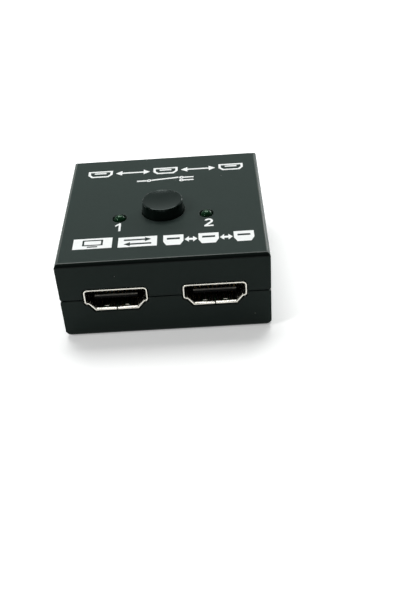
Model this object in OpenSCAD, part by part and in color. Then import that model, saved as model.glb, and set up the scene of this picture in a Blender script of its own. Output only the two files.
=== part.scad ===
// Two-way video switch box: folded sheet case, three sockets, one latching push button, two lamps.
// Millimetres. Origin on the resting plane under the middle of the case, two-socket face at -Y, +Z up.

/* [Case] */
// Outside width of the case, along X
case_w = 49; // [46:0.5:60]
// Outside depth of the case, along Y
case_d = 48.9; // [46:0.1:60]
// Outside height of the case without the button
case_h = 20.8; // [20:0.1:26]
// Thickness of the folded sheet
sheet_t = 1; // [0.8:0.1:1.2]
// Inside radius of the folds
fold_r = 0.15; // [0.1:0.05:0.3]
// Height of the seam between cover and tray on the end faces
seam_z = 10.55; // [10:0.05:11.2]
// Gap along the seam
seam_gap = 0.3; // [0.2:0.05:0.5]
// Gap between the end of a side wall and the fold of an end flange
slit_gap = 0.15; // [0.1:0.05:0.4]
// Height of the cover's side walls above the resting plane
wall_lift = 0.25; // [0.1:0.05:0.5]
// Rounding of the flange corners at the seam
flange_corner_r = 0.5; // [0.3:0.1:1]
// Width of the cut at the lower corners of the tray's flanges
corner_cut_w = 1.2; // [0.6:0.1:2]
// Height of the cut at the lower corners of the tray's flanges
corner_cut_h = 1.4; // [0.8:0.1:2.5]
// Gap between the cover's side walls and the tray's side walls
tray_gap = 0.1; // [0.05:0.05:0.3]
// Height of the tray's side walls
tray_side_h = 6; // [5:0.1:7]
// Strip of tray floor that runs into each end fold
end_strip = 0.5; // [0.3:0.1:1]
// Notch that parts the side folds from the end folds of the tray
fold_relief = 0.4; // [0.3:0.1:0.8]

/* [Case screws] */
// Diameter of the screw shank
case_screw_d = 2.5; // [2:0.1:3]
// Diameter of the countersunk head
case_head_d = 4.4; // [3.8:0.1:5]
// Length of the screw, with its head
case_screw_l = 5; // [4:0.5:7]
// Distance of the screw from the end face
case_screw_inset = 10.2; // [8:0.1:12]
// Depth of the head's face below the side wall
head_sink = 0.05; // [0.02:0.01:0.1]
// Clearance round the screw and its head in the cover
case_screw_gap = 0.1; // [0.08:0.01:0.2]
// Clearance of the shank in the tapped hole of the tray
thread_gap = 0.02; // [0.01:0.01:0.05]
// Sheet left between the countersink and the lower edge of the side wall
countersink_land = 0.25; // [0.1:0.05:0.6]
// Length of the slots of a cross recess
cross_l = 2.1; // [1.6:0.1:2.4]
// Width of the slots of a cross recess
cross_w = 0.5; // [0.4:0.05:0.6]
// Depth of a cross recess
cross_depth = 0.6; // [0.4:0.05:0.7]

/* [Board] */
// Height of the posts under the board
post_h = 5.1; // [4.5:0.1:6]
// Diameter of the posts
post_d = 4; // [3.6:0.1:4.6]
// Thickness of the circuit board
board_t = 1.6; // [1.2:0.1:2]
// Gap between the board and the tray's side walls
board_gap = 0.5; // [0.3:0.1:1]
// Distance of the board's ends behind the flared socket mouths
board_rim_gap = 1; // [0.6:0.1:2]
// Distance of the post centres from the board's edges
post_inset = 2.5; // [2.3:0.1:4]
// Distance of the front posts behind the contact feet of the front sockets
post_foot_gap = 2; // [1.5:0.1:3]
// Diameter of the board screws
board_screw_d = 2; // [1.6:0.1:2.3]
// Head diameter of the board screws
board_head_d = 3.6; // [3:0.1:4]
// Head height of the board screws
board_head_h = 1.3; // [1:0.1:1.6]
// Depth of the board screws in the posts
board_screw_bite = 3; // [2:0.1:3.8]
// Clearance of the board screws in the board
board_screw_gap = 0.15; // [0.1:0.05:0.3]

/* [Sockets] */
// Distance between the two front sockets, centre to centre
socket_pitch = 23; // [20:0.1:26]
// Width of the socket opening
socket_open_w = 14; // [13.5:0.1:14.5]
// Height of the socket opening
socket_open_h = 4.55; // [4.3:0.05:5]
// Width of the narrow floor of the opening
socket_floor_w = 9.7; // [9:0.1:10.5]
// Height of the opening's upright sides
socket_side_h = 2.9; // [2.6:0.1:3.4]
// Width of the step under the upright sides
socket_step = 0.7; // [0.4:0.1:1]
// Rounding of the upper corners of the opening
socket_corner_r = 0.6; // [0.3:0.1:1]
// Rounding of the corners at the feet of the upright sides
socket_foot_r = 0.35; // [0.2:0.05:0.5]
// Sheet thickness of the shell
shell_t = 0.3; // [0.25:0.01:0.4]
// Length of the shell from its rim to its rear edge
shell_l = 11.6; // [10.5:0.1:13]
// Length of the flared mouth
mouth_l = 0.25; // [0.2:0.05:0.8]
// How far the mouth flares at each side
mouth_out = 0.1; // [0.05:0.05:0.2]
// How far the mouth flares above and below
mouth_rise = 0.4; // [0.2:0.05:0.5]
// Gap where the ends of the folded shell meet, under the opening
shell_seam = 0.2; // [0.05:0.01:0.3]
// Distance of the front rims behind the front face
front_recess = 0.1; // [0.05:0.05:0.5]
// Distance of the rear rim behind the rear face
rear_recess = 1.2; // [0.5:0.1:2]
// Gap round the front rims in their cut-outs
front_cut_gap = 0.3; // [0.2:0.05:0.5]
// Gap round the rear rim in its cut-out
rear_cut_gap = 0.5; // [0.3:0.05:0.8]
// Gap between the shell and the board
shell_seat = 0.02; // [0:0.01:0.05]
// Width of the shell legs
leg_w = 1.2; // [0.8:0.1:1.6]
// Distance of the front legs from the rim
leg_front = 3.2; // [2.8:0.1:4]
// Distance of the rear legs from the shell's rear edge
leg_rear = 2.6; // [2:0.1:3.5]
// How far legs, leads and terminals stand out under the board
solder_end = 1; // [0.6:0.1:1.5]
// Clearance of the legs in the board
leg_gap = 0.15; // [0.1:0.05:0.3]
// Width of the spring leaves in the shell
leaf_w = 1; // [0.8:0.1:1.8]
// Length of the spring leaves
leaf_l = 5; // [4:0.1:6]
// Distance between the two leaves of a wall, centre to centre
leaf_pitch = 4.8; // [4:0.1:6]
// Distance of the leaf windows behind the flared mouth
leaf_start = 0.2; // [0.1:0.05:1]
// How far the free ends of the leaves stand into the opening
leaf_bow = 0.2; // [0.15:0.05:0.4]
// Gap round the leaves in their windows
leaf_gap = 0.25; // [0.15:0.05:0.4]
// How far the roots of the leaves lap the wall
leaf_root = 0.2; // [0.1:0.05:0.3]

/* [Socket inserts] */
// Length of the moulded block at the rear of the socket
block_l = 4; // [3:0.1:5]
// Clearance between the moulded block and the shell
block_gap = 0.03; // [0.02:0.01:0.05]
// Thickness of the tongue
tongue_t = 1.1; // [0.9:0.05:1.3]
// Height of the middle of the tongue above the middle of the opening
tongue_lift = 0; // [-0.2:0.05:0.3]
// Distance of the tongue's tip behind the rim
tongue_recess = 1.2; // [0.8:0.1:2]
// Chamfer of the tongue's tip
tongue_chamfer = 0.25; // [0.1:0.05:0.4]
// Width of the tongue past the outer contacts
tongue_margin = 0.3; // [0.2:0.05:0.6]
// Contacts above the tongue
upper_contacts = 10; // [8:1:10]
// Contacts below the tongue
lower_contacts = 9; // [7:1:9]
// Distance between contacts of a row
contact_pitch = 1; // [0.9:0.05:1.05]
// Width of a contact
contact_w = 0.4; // [0.3:0.02:0.44]
// Thickness of a contact
contact_t = 0.15; // [0.1:0.01:0.2]
// How far a contact stands proud of the tongue
contact_proud = 0.05; // [0.02:0.01:0.08]
// Distance of the contact tips behind the tongue's tip
contact_setback = 0.6; // [0.4:0.1:1]
// Clearance of a contact in the moulding
contact_gap = 0.02; // [0.01:0.01:0.03]
// Distance of the contact drops behind the shell
contact_drop = 0.4; // [0.3:0.05:0.8]
// Length of the contact feet
contact_foot = 1.2; // [0.8:0.1:1.6]

/* [Button] */
// Place of the button along the depth
button_y = -3.1; // [-4:0.1:-1]
// Diameter of the button at the cover
cap_d = 10.3; // [9:0.1:12]
// How far the button stands above the cover
cap_proud = 2.9; // [2.4:0.1:4]
// Draft of the button's side, on the radius
cap_draft = 0.25; // [0.2:0.05:0.6]
// Rounding of the button's rim
cap_rim_r = 0.3; // [0.2:0.05:0.8]
// Depth of the dished top
cap_dish = 0.42; // [0.2:0.02:0.6]
// Thickness of the button under the dish
cap_roof = 1; // [0.8:0.1:1.4]
// Wall of the button's skirt
cap_wall = 1; // [0.8:0.1:1.4]
// Gap round the button in the cover
cap_gap = 0.2; // [0.15:0.05:0.5]
// Travel of the button
press_travel = 2; // [1.5:0.1:2.4]
// Gap left between the pressed button and the switch frame
cap_float = 0.4; // [0.3:0.1:0.8]
// Wall of the button's socket for the stem
stem_socket_wall = 0.4; // [0.3:0.05:0.8]
// Clearance of the stem in the button
stem_gap = 0.03; // [0.02:0.01:0.05]

/* [Push switch] */
// Width and depth of the switch housing
switch_w = 8; // [7.6:0.1:9]
// Wall of the switch housing
switch_wall = 0.7; // [0.5:0.05:0.9]
// Floor of the switch housing
switch_floor = 1; // [0.8:0.1:1.4]
// Clearance between the slider and the housing
slider_gap = 0.3; // [0.25:0.05:0.4]
// Clearance under the pressed slider
slider_under = 0.4; // [0.3:0.1:0.8]
// Clearance between the raised slider and the frame
slider_top_gap = 0.05; // [0.03:0.01:0.1]
// Slider material over the latch track and the spring bore
slider_roof = 0.8; // [0.6:0.1:1.2]
// Width of the square stem
stem_w = 3.4; // [3:0.1:3.8]
// Thickness of the metal frame
frame_t = 0.3; // [0.2:0.05:0.4]
// Clearance of the stem in the frame
frame_gap = 0.3; // [0.25:0.05:0.5]
// Width of the frame's two side tabs
frame_tab_w = 4; // [3:0.1:5]
// Length of the frame's side tabs
frame_tab_l = 4.2; // [3.6:0.1:4.6]
// Width of the catches that hold the frame
catch_w = 1.6; // [1:0.1:2]
// Height of the catches
catch_h = 0.7; // [0.5:0.1:1]
// Gap round the catches in the frame
catch_gap = 0.1; // [0.05:0.05:0.2]
// Outside diameter of the return spring
spring_d = 2.4; // [2.1:0.1:2.6]
// Wire of the return spring
spring_wire = 0.3; // [0.25:0.01:0.35]
// Turns of the return spring
spring_turns = 5; // [4:1:6]
// Clearance round the return spring
spring_gap = 0.25; // [0.2:0.05:0.3]
// Height of the spigot that centres the spring
spigot_h = 0.8; // [0.5:0.1:1.2]
// Wire of the latch pin
latch_wire = 0.4; // [0.3:0.05:0.45]
// Length of the latch pin from its pivot to its tip
latch_l = 2.25; // [2.1:0.05:2.4]
// Height of the latch pivot above the floor of the housing
latch_pivot_h = 0.7; // [0.6:0.05:0.9]
// Swing of the latch pin over the travel, in degrees
latch_swing = 18; // [14:1:20]
// Clearance of the latch pin in front of and behind its arm
latch_gap = 0.15; // [0.1:0.01:0.2]
// Clearance of the latch pivot in its bore
latch_bore_gap = 0.05; // [0.03:0.01:0.08]
// Clearance of the latch tip in its track
track_gap = 0.2; // [0.15:0.01:0.25]
// Depth of the latch track
track_depth = 0.7; // [0.5:0.05:0.75]
// Distance between the terminals of a row
terminal_pitch = 2; // [1.8:0.1:2.1]
// Sheet thickness of the terminals
terminal_t = 0.15; // [0.1:0.01:0.2]
// Width of the terminal blades inside the housing
blade_w = 1.1; // [0.8:0.1:1.3]
// Height of the terminal blades above the floor
blade_h = 4.2; // [3.6:0.1:4.6]
// Width of the terminal ends under the housing
terminal_w = 0.6; // [0.5:0.05:0.7]
// Gap between the slider's contacts and the blades
wiper_gap = 0.05; // [0.03:0.01:0.08]
// Depth of the slider's contacts in the slider
wiper_sink = 0.25; // [0.2:0.01:0.3]
// Length of the slider's contacts
wiper_l = 3.4; // [3:0.1:4]
// Height of the slider's contacts
wiper_h = 1.6; // [1.2:0.1:2]
// Height of the slider's contacts above the slider's lower edge
wiper_lift = 1; // [0.6:0.1:1.4]

/* [Indicators] */
// Distance of each indicator from the middle
led_x = 10.5; // [9.5:0.1:12]
// Place of the indicators along the depth
led_y = -5.9; // [-6.5:0.1:-4]
// Diameter of the lens
led_d = 3; // [2.8:0.1:3.2]
// Height of the lens with its flange
led_h = 5.3; // [4.5:0.1:6]
// Diameter of the lens flange
led_flange_d = 3.8; // [3.6:0.1:4]
// Height of the lens flange
led_flange_h = 1; // [0.8:0.1:1.2]
// Depth of the flat on the lens flange
led_flat = 0.3; // [0.2:0.05:0.4]
// How far the lens stands above the cover
led_proud = 0.8; // [0:0.1:1.6]
// Gap round the lens in the cover
led_gap = 0.3; // [0.2:0.05:0.4]
// Distance between the two leads
lead_pitch = 2.54; // [2.4:0.02:2.6]
// Width of the square leads
lead_w = 0.45; // [0.4:0.01:0.5]
// Clearance of leads and terminals in the board
lead_gap = 0.12; // [0.1:0.01:0.2]

/* [Small components] */
// Length of the selector chip
chip_l = 9; // [7:0.1:9]
// Width of the selector chip
chip_w = 3.5; // [3:0.1:4]
// Height of the selector chip
chip_h = 0.9; // [0.7:0.1:1.2]
// Diameter of the mark at the chip's first contact
chip_dot_d = 0.7; // [0.5:0.1:1]
// Depth of the mark
chip_dot_depth = 0.1; // [0.05:0.05:0.2]
// Size of a resistor along X, Y and Z
resistor = [0.6, 1.1, 0.4]; // [0.3:0.05:1.3]
// Resistors on each side of the chip
resistors_per_side = 4; // [3:1:4]
// Distance between resistors
resistor_pitch = 1.4; // [1.2:0.1:1.5]
// Gap between the chip and the first resistor
resistor_gap = 1.5; // [1:0.1:2]
// Size of a capacitor along X, Y and Z
capacitor = [1.6, 0.8, 0.8]; // [0.6:0.05:1.8]
// Capacitors on each side of the board
capacitors_per_side = 3; // [2:1:3]
// Distance between capacitors
capacitor_pitch = 2.6; // [2.2:0.1:2.8]
// Gap between the row of resistors and the row of capacitors
capacitor_gap = 0.9; // [0.6:0.1:1.2]
// Size of a diode along X, Y and Z
diode = [2.7, 1.6, 1.1]; // [0.9:0.05:3]
// Gap between a diode and the contact feet in front of it
diode_gap = 0.8; // [0.6:0.1:1]
// Length of the metal ends on resistors and capacitors
end_cap_l = 0.25; // [0.2:0.01:0.28]
// How far the metal ends stand out
end_cap_out = 0.03; // [0.02:0.01:0.05]

/* [Hidden] */
$fn = 64;

// How far a cutting tool runs past what it cuts
over = 1;
// Steps in each rounded corner of the socket outline
corner_steps = 5;
// Rings of the spring in one turn, and sides of its wire
spring_steps = 18;
spring_sides = 8;
// Rings in the rounded rim of the button
rim_steps = 6;

// Case
half_w = case_w / 2;
half_d = case_d / 2;
fold_out = sheet_t + fold_r;
wall_end = half_d - fold_out - slit_gap;
tray_side = half_w - sheet_t - tray_gap;
flange_low = seam_z + seam_gap / 2;
flange_high = seam_z - seam_gap / 2;
side_wall_end = half_d - fold_out - end_strip - fold_relief;
floor_end = half_d - fold_out - end_strip / 2;
case_screw_y = half_d - case_screw_inset;
case_screw_z = wall_lift + countersink_land + case_head_d / 2 + case_screw_gap;
case_head_h = sheet_t - head_sink - case_screw_gap;

// Board
board_z = sheet_t + post_h;
board_top = board_z + board_t;
board_half_w = tray_side - sheet_t - board_gap;
board_front = -half_d + front_recess + mouth_l + board_rim_gap;
board_rear = half_d - rear_recess - mouth_l - board_rim_gap;
foot_l = shell_l + contact_drop + contact_foot;
front_foot_y = -half_d + front_recess + foot_l;
rear_foot_y = half_d - rear_recess - foot_l;
post_x = board_half_w - post_inset;
post_ys = [front_foot_y + post_foot_gap, board_rear - post_inset];

// Sockets: the mouth is at y = 0 and the shell runs towards +Y
socket_x = socket_pitch / 2;
socket_z = board_top + shell_seat + shell_t + socket_open_h / 2;
step_z = socket_open_h / 2 - socket_side_h;
leaf_y = mouth_l + leaf_start;
mouth_scale = [1 + 2 * mouth_out / socket_open_w, 1 + 2 * mouth_rise / socket_open_h];
rim_scale = [
    1 + 2 * mouth_out / (socket_open_w + 2 * shell_t),
    1 + 2 * mouth_rise / (socket_open_h + 2 * shell_t)
];
socket_seat_z = board_top - socket_z;
leg_end_z = board_z - solder_end - socket_z;
leg_ys = [leg_front, shell_l - leg_rear - leg_w];
leaf_tilt = asin(leaf_bow / leaf_l);
tongue_top = tongue_lift + tongue_t / 2;
tongue_low = tongue_lift - tongue_t / 2;
tongue_w = (upper_contacts - 1) * contact_pitch + contact_w + 2 * tongue_margin;
block_y = shell_l - block_l;

// Push switch, above the board
cavity = switch_w / 2 - switch_wall;
slider_half = cavity - slider_gap;
slider_z = switch_floor + slider_under + press_travel;
latch_z = switch_floor + latch_pivot_h;
tip_rise = latch_z + latch_l - slider_z;
track_w = latch_wire + 2 * track_gap;
slider_h = tip_rise + press_travel + track_w / 2 + slider_roof;
slider_top = slider_z + slider_h;
switch_h = slider_top + slider_top_gap;
frame_top = switch_h + frame_t;
slider_front = cavity - 2 * latch_gap - latch_wire;
latch_arm_y = -cavity + latch_gap + latch_wire / 2;
track_end = [latch_l * sin(latch_swing), tip_rise + press_travel - latch_l * (1 - cos(latch_swing))];
spring_bore_top = slider_top - slider_roof;
wiper_out = cavity - terminal_t - wiper_gap;
catch_z = switch_h - frame_tab_l / 2;

// Button
cap_low = board_top + frame_top + press_travel + cap_float;
cap_top = case_h + cap_proud;
cap_top_r = cap_d / 2 - cap_draft;
dish_half = cap_top_r - cap_rim_r;
dish_r = (dish_half * dish_half + cap_dish * cap_dish) / (2 * cap_dish);
cap_ceiling = cap_top - cap_dish - cap_roof;
stem_hole = stem_w + 2 * stem_gap;
stem_socket_d = stem_hole * sqrt(2) + 2 * stem_socket_wall;

// Indicators and small components
led_base = case_h + led_proud - led_h;
lead_hole_d = (lead_w + lead_gap) * sqrt(2);
chip_y = (button_y + switch_w / 2 + frame_t + rear_foot_y) / 2;
resistor_x = chip_l / 2 + resistor_gap;
capacitor_y = chip_y - resistor.y / 2 - capacitor_gap - capacitor.y / 2;
diode_y = front_foot_y + diode_gap + diode.y / 2;

// Colours
case_black = [0.15, 0.17, 0.165];
nickel = [0.86, 0.85, 0.8];
moulding_black = [0.07, 0.07, 0.07];
gold = [0.85, 0.68, 0.32];
button_black = [0.09, 0.1, 0.1];
board_green = [0.08, 0.32, 0.16];
lens_green = [0.1, 0.3, 0.17];
tinned = [0.75, 0.75, 0.74];

// Outlines

// Points of an arc round a centre
function arc(centre, r, from, to, steps) = [
    for (i = [0 : steps])
        let (a = from + (to - from) * i / steps)
        centre + r * [cos(a), sin(a)]
];

// Outward normal of the edge from a to b of an outline that runs anticlockwise
function edge_normal(a, b) = let (d = (b - a) / norm(b - a)) [d.y, -d.x];

// Outline moved outwards by g, with its corners kept
function grown(points, g) = let (n = len(points)) [
    for (i = [0 : n - 1])
        let (
            before = edge_normal(points[(i + n - 1) % n], points[i]),
            after = edge_normal(points[i], points[(i + 1) % n])
        )
        points[i] + g * (before + after) / (1 + before * after)
];

// Socket opening, seen from its mouth: wide above, narrow below
opening = concat(
    [
        [-socket_floor_w / 2, -socket_open_h / 2],
        [socket_floor_w / 2, -socket_open_h / 2],
        [socket_open_w / 2 - socket_step, step_z]
    ],
    arc([socket_open_w / 2 - socket_foot_r, step_z + socket_foot_r],
        socket_foot_r, -90, 0, corner_steps),
    arc([socket_open_w / 2 - socket_corner_r, socket_open_h / 2 - socket_corner_r],
        socket_corner_r, 0, 90, corner_steps),
    arc([socket_corner_r - socket_open_w / 2, socket_open_h / 2 - socket_corner_r],
        socket_corner_r, 90, 180, corner_steps),
    arc([socket_foot_r - socket_open_w / 2, step_z + socket_foot_r],
        socket_foot_r, 180, 270, corner_steps),
    [[socket_step - socket_open_w / 2, step_z]]
);

// Outside of the shell, and of its flared mouth
shell_outline = grown(opening, shell_t);
mouth_outline = [for (p = shell_outline) [p.x * rim_scale.x, p.y * rim_scale.y]];

// Helpers

// Box between two corners
module span(low, high) {
    translate(low)
        cube(high - low);
}

// Section drawn in X and Z, run from y0 to y1
module along_y(y0, y1) {
    translate([0, y1, 0])
        rotate([90, 0, 0])
            linear_extrude(y1 - y0)
                children();
}

// Section drawn in X and Z at y = length, that widens by a scale up to y = 0 and goes on past it
module flared(length, widening, past) {
    whole = 1 + past / length;
    translate([0, length, 0])
        rotate([90, 0, 0])
            linear_extrude(length + past, scale = [1, 1] + whole * (widening - [1, 1]), slices = 1, $fn = 3)
                children();
}

// Section drawn in Y and Z, run from x0 to x1
module along_x(x0, x1) {
    translate([x0, 0, 0])
        rotate([90, 0, 90])
            linear_extrude(x1 - x0)
                children();
}

module both_sides() {
    children();
    mirror([1, 0, 0])
        children();
}

module both_ends() {
    children();
    mirror([0, 1, 0])
        children();
}

module at_left_socket() {
    translate([-socket_x, -half_d + front_recess, socket_z])
        children();
}

module at_right_socket() {
    translate([socket_x, -half_d + front_recess, socket_z])
        children();
}

module at_rear_socket() {
    translate([0, half_d - rear_recess, socket_z])
        rotate([0, 0, 180])
            children();
}

module at_switch() {
    translate([0, button_y, board_top])
        children();
}

// Case

// Section of a plate whose two upper edges are folded down
module folded_section(half, top, r, low) {
    translate([-half, low])
        square([2 * half, top - r - low]);
    translate([r - half, low])
        square([2 * (half - r), top - low]);
    for (side = [-1, 1])
        translate([side * (half - r), top - r])
            circle(r);
}

// Block with the outside of a lid that is folded on all four sides
module folded_lid(hw, hd, top, r, low) {
    intersection() {
        along_y(-hd, hd)
            folded_section(hw, top, r, low);
        along_x(-hw, hw)
            folded_section(hd, top, r, low);
    }
}

// Section of a sheet that lies on z = 0 and turns up at an edge, with some of the flat before the bend
module fold_up(edge, top, flat) {
    translate([edge - fold_out - flat, 0])
        square([flat, sheet_t]);
    translate([edge - fold_out, fold_out])
        intersection() {
            difference() {
                circle(fold_out);
                circle(fold_r);
            }
            translate([0, -fold_out])
                square(fold_out);
        }
    translate([edge - sheet_t, fold_out])
        square([sheet_t, top - fold_out]);
}

// What is cut away to round a flange corner at x = half_w, with the sheet above z
module corner_nick(z) {
    translate([half_w - flange_corner_r, z + flange_corner_r])
        difference() {
            translate([0, -flange_corner_r - over])
                square(flange_corner_r + over);
            circle(flange_corner_r);
        }
}

module socket_cut_outs() {
    for (side = [-1, 1])
        translate([side * socket_x, 0, socket_z])
            along_y(-half_d - over, -half_d + fold_out + over)
                polygon(grown(mouth_outline, front_cut_gap));
    translate([0, 0, socket_z])
        along_y(half_d - fold_out - over, half_d + over)
            polygon(grown(mouth_outline, rear_cut_gap));
}

module at_case_screws() {
    both_ends()
        both_sides()
            translate([half_w, case_screw_y, case_screw_z])
                rotate([0, -90, 0])
                    children();
}

module countersinks() {
    wide = case_head_d / 2 + case_screw_gap;
    narrow = case_screw_d / 2 + case_screw_gap;
    at_case_screws() {
        cylinder(h = sheet_t, r1 = wide, r2 = narrow);
        translate([0, 0, -over])
            cylinder(h = over, r = wide);
        cylinder(h = sheet_t + tray_gap / 2, r = narrow);
    }
}

module top_cover() {
    color(case_black)
        difference() {
            folded_lid(half_w, half_d, case_h, fold_out, wall_lift);
            folded_lid(half_w - sheet_t, half_d - sheet_t, case_h - sheet_t, fold_r, wall_lift - over);
            both_ends() {
                span([-half_w - over, wall_end, wall_lift - over],
                     [half_w + over, half_d + over, flange_low]);
                both_sides() {
                    span([half_w - sheet_t - slit_gap, wall_end, flange_low - over],
                         [half_w + over, half_d - sheet_t, case_h - fold_out]);
                    along_y(half_d - sheet_t, half_d + over)
                        corner_nick(flange_low);
                }
            }
            socket_cut_outs();
            countersinks();
            translate([0, button_y, case_h - sheet_t - over])
                cylinder(h = sheet_t + 2 * over, d = cap_d + 2 * cap_gap);
            for (side = [-1, 1])
                translate([side * led_x, led_y, case_h - sheet_t - over])
                    cylinder(h = sheet_t + 2 * over, d = led_d + 2 * led_gap);
        }
}

module tray_end() {
    difference() {
        along_x(-half_w, half_w)
            fold_up(half_d, flange_high, end_strip);
        both_sides() {
            span([tray_side, side_wall_end, -over], [half_w + over, half_d - fold_out, sheet_t + over]);
            along_y(half_d - fold_out, half_d + over) {
                polygon([
                    [half_w - corner_cut_w, 0],
                    [half_w - corner_cut_w, -over],
                    [half_w + over, -over],
                    [half_w + over, corner_cut_h],
                    [half_w, corner_cut_h]
                ]);
                translate([0, flange_high])
                    mirror([0, 1])
                        corner_nick(0);
            }
        }
    }
}

module tray_wall() {
    difference() {
        along_y(-floor_end, floor_end)
            fold_up(tray_side, tray_side_h, end_strip);
        both_ends()
            span([tray_side - fold_out, side_wall_end, -over], [half_w, half_d, tray_side_h + over]);
    }
}

module bottom_tray() {
    floor_half = tray_side - fold_out - end_strip / 2;
    color(case_black)
        difference() {
            union() {
                span([-floor_half, -floor_end, 0], [floor_half, floor_end, sheet_t]);
                both_ends()
                    tray_end();
                both_sides()
                    tray_wall();
            }
            socket_cut_outs();
            at_case_screws()
                cylinder(h = 2 * sheet_t + tray_gap + over, d = case_screw_d + 2 * thread_gap);
        }
}

// Two crossed slots of a screw head, cut downwards from z = 0
module cross_recess() {
    for (turn = [0, 90])
        rotate([0, 0, turn])
            span([-cross_l / 2, -cross_w / 2, -cross_depth], [cross_l / 2, cross_w / 2, over]);
}

module case_screws() {
    color(case_black)
        at_case_screws()
            translate([0, 0, head_sink])
                difference() {
                    union() {
                        cylinder(h = case_head_h, r1 = case_head_d / 2, r2 = case_screw_d / 2);
                        cylinder(h = case_screw_l, d = case_screw_d);
                    }
                    mirror([0, 0, 1])
                        cross_recess();
                }
}

// Board

module at_posts() {
    for (side = [-1, 1], y = post_ys)
        translate([side * post_x, y, 0])
            children();
}

// Slots for the shell legs of one socket, through the board
module leg_slots() {
    both_sides()
        for (y = leg_ys)
            span([socket_open_w / 2 - leg_gap, y - leg_gap, leg_end_z],
                 [socket_open_w / 2 + shell_t + leg_gap, y + leg_w + leg_gap, socket_seat_z + over]);
}

module circuit_board() {
    color(board_green)
        difference() {
            span([-board_half_w, board_front, board_z], [board_half_w, board_rear, board_top]);
            at_posts()
                translate([0, 0, board_z - over])
                    cylinder(h = board_t + 2 * over, d = board_screw_d + 2 * board_screw_gap);
            at_left_socket()
                leg_slots();
            at_right_socket()
                leg_slots();
            at_rear_socket()
                leg_slots();
            for (side = [-1, 1], lead = [-1, 1])
                translate([side * led_x + lead * lead_pitch / 2, led_y, board_z - over])
                    cylinder(h = board_t + 2 * over, d = lead_hole_d);
            at_terminals()
                translate([0, 0, -board_t - over])
                    cylinder(h = board_t + 2 * over, d = terminal_w + 2 * lead_gap);
        }
}

module board_posts() {
    color(gold)
        at_posts()
            translate([0, 0, sheet_t])
                difference() {
                    cylinder(h = post_h, d = post_d);
                    translate([0, 0, -over])
                        cylinder(h = post_h + 2 * over, d = board_screw_d + 2 * thread_gap);
                }
}

module board_screws() {
    color(tinned)
        at_posts()
            translate([0, 0, board_top])
                difference() {
                    union() {
                        cylinder(h = board_head_h, d = board_head_d);
                        translate([0, 0, -board_t - board_screw_bite])
                            cylinder(h = board_t + board_screw_bite, d = board_screw_d);
                    }
                    translate([0, 0, board_head_h])
                        cross_recess();
                }
}

// Sockets

// Two spring leaves on the upper or the lower wall, drawn on a wall whose inside is at z = 0
module leaves() {
    for (side = [-1, 1])
        translate([side * leaf_pitch / 2 - leaf_w / 2, leaf_y + leaf_gap + leaf_l, -shell_t])
            rotate([180 - leaf_tilt, 0, 0])
                span([0, -leaf_root, -shell_t], [leaf_w, leaf_l, 0]);
}

module leaf_windows() {
    window_w = leaf_w + 2 * leaf_gap;
    for (side = [-1, 1])
        span([side * leaf_pitch / 2 - window_w / 2, leaf_y, -shell_t - over],
             [side * leaf_pitch / 2 + window_w / 2, leaf_y + leaf_gap + leaf_l, leaf_gap]);
}

module socket_shell() {
    color(nickel)
        union() {
            difference() {
                union() {
                    flared(mouth_l, rim_scale, 0)
                        polygon(shell_outline);
                    along_y(0, shell_l)
                        polygon(shell_outline);
                    both_sides()
                        for (y = leg_ys)
                            span([socket_open_w / 2, y, leg_end_z],
                                 [socket_open_w / 2 + shell_t, y + leg_w, 0]);
                }
                along_y(-over, shell_l + over)
                    polygon(opening);
                flared(mouth_l, mouth_scale, mouth_l)
                    polygon(opening);
                span([-shell_seam / 2, -over, -socket_open_h / 2 - shell_t - mouth_rise - over],
                     [shell_seam / 2, shell_l + over, 0]);
                translate([0, 0, -socket_open_h / 2])
                    leaf_windows();
                translate([0, 0, socket_open_h / 2])
                    mirror([0, 0, 1])
                        leaf_windows();
            }
            translate([0, 0, -socket_open_h / 2])
                leaves();
            translate([0, 0, socket_open_h / 2])
                mirror([0, 0, 1])
                    leaves();
        }
}

// Side view of a contact: along the tongue, down behind the shell, and out along the board
module contact_side(z) {
    drop_y = shell_l + contact_drop;
    polygon([
        [tongue_recess + contact_setback, z + contact_t],
        [tongue_recess + contact_setback, z],
        [drop_y, z],
        [drop_y, socket_seat_z],
        [drop_y + contact_foot, socket_seat_z],
        [drop_y + contact_foot, socket_seat_z + contact_t],
        [drop_y + contact_t, socket_seat_z + contact_t],
        [drop_y + contact_t, z + contact_t]
    ]);
}

// Rows of contacts: count and height of each
contact_rows = [
    [upper_contacts, tongue_top + contact_proud - contact_t],
    [lower_contacts, tongue_low - contact_proud]
];

function contact_x(count, i) = (i - (count - 1) / 2) * contact_pitch;

module socket_contacts() {
    color(gold)
        for (row = contact_rows, i = [0 : row[0] - 1])
            translate([contact_x(row[0], i), 0, 0])
                along_x(-contact_w / 2, contact_w / 2)
                    contact_side(row[1]);
}

// Side view of the tongue, with its chamfered tip
module tongue_side() {
    polygon([
        [tongue_recess, tongue_low + tongue_chamfer],
        [tongue_recess + tongue_chamfer, tongue_low],
        [block_y + over, tongue_low],
        [block_y + over, tongue_top],
        [tongue_recess + tongue_chamfer, tongue_top],
        [tongue_recess, tongue_top - tongue_chamfer]
    ]);
}

module socket_body() {
    slot_half = contact_w / 2 + contact_gap;
    color(moulding_black)
        difference() {
            union() {
                along_y(block_y, shell_l)
                    polygon(grown(opening, -block_gap));
                along_x(-tongue_w / 2, tongue_w / 2)
                    tongue_side();
            }
            for (row = contact_rows, i = [0 : row[0] - 1])
                translate([contact_x(row[0], i), 0, row[1]])
                    span([-slot_half, tongue_recess + contact_setback - contact_gap, -contact_gap],
                         [slot_half, shell_l + over, contact_t + contact_gap]);
        }
}

module socket_shell_left() {
    at_left_socket()
        socket_shell();
}

module socket_shell_right() {
    at_right_socket()
        socket_shell();
}

module socket_shell_rear() {
    at_rear_socket()
        socket_shell();
}

module socket_body_left() {
    at_left_socket()
        socket_body();
}

module socket_body_right() {
    at_right_socket()
        socket_body();
}

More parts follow.
